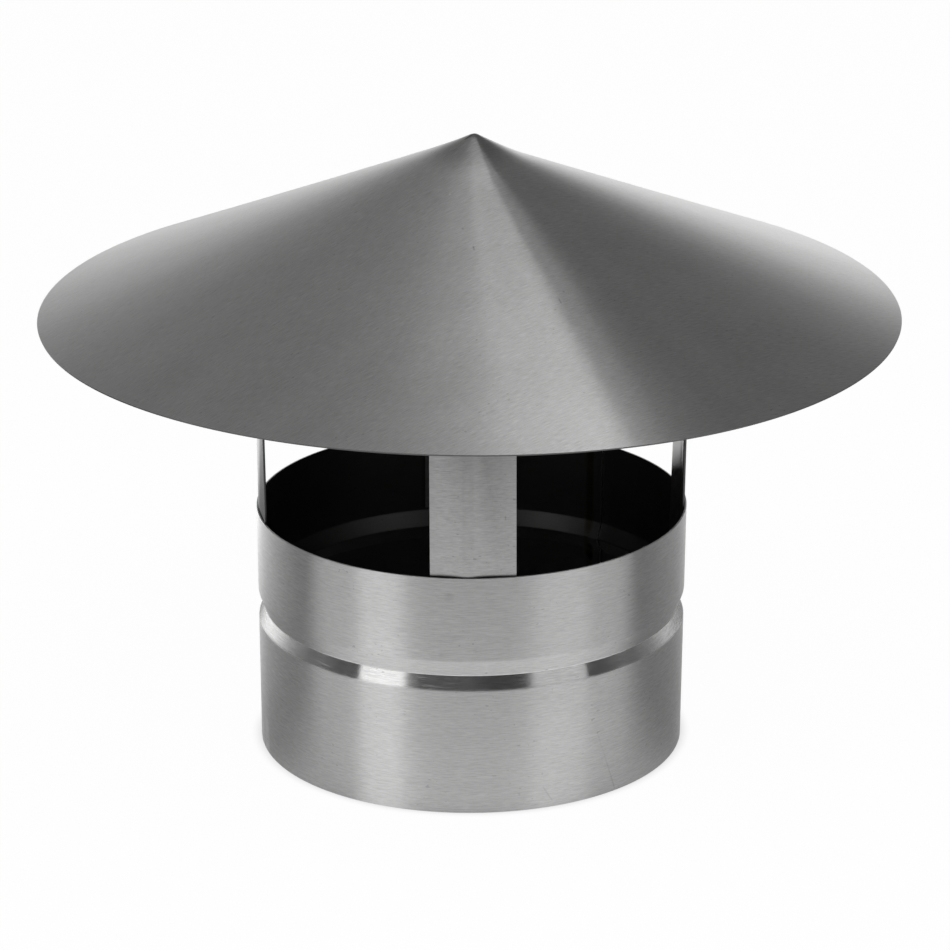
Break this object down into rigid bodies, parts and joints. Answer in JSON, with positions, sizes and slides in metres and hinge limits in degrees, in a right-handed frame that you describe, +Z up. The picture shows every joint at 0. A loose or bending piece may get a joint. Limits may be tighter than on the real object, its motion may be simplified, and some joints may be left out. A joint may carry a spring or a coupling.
{
  "type": "chimney cap",
  "caption": "Shallow cone hood held by creased strap legs over an open beaded collar that slips over a round flue pipe.",
  "frame": {"origin": "centre of the collar's lower edge, on the flue's axis", "axes": "+Z up along the flue, -Y towards the viewer of the picture (the front strap), +X to the right"},
  "size_m": [0.3034, 0.3034, 0.2241],
  "materials": {
    "hood_sheet": "straight brushed grain, sheared raw edge",
    "collar_sheet": "fine brushed grain round the wall, burnished bead, heat-tinted weld seam",
    "strap_sheet": "dull mill finish with fine cross grain"
  },
  "bodies": {
    "root": {"hood": "hood_sheet", "collar": "collar_sheet", "leg_front": "strap_sheet", "leg_right": "strap_sheet", "leg_rear": "strap_sheet", "leg_left": "strap_sheet"}
  },
  "joints": []
}
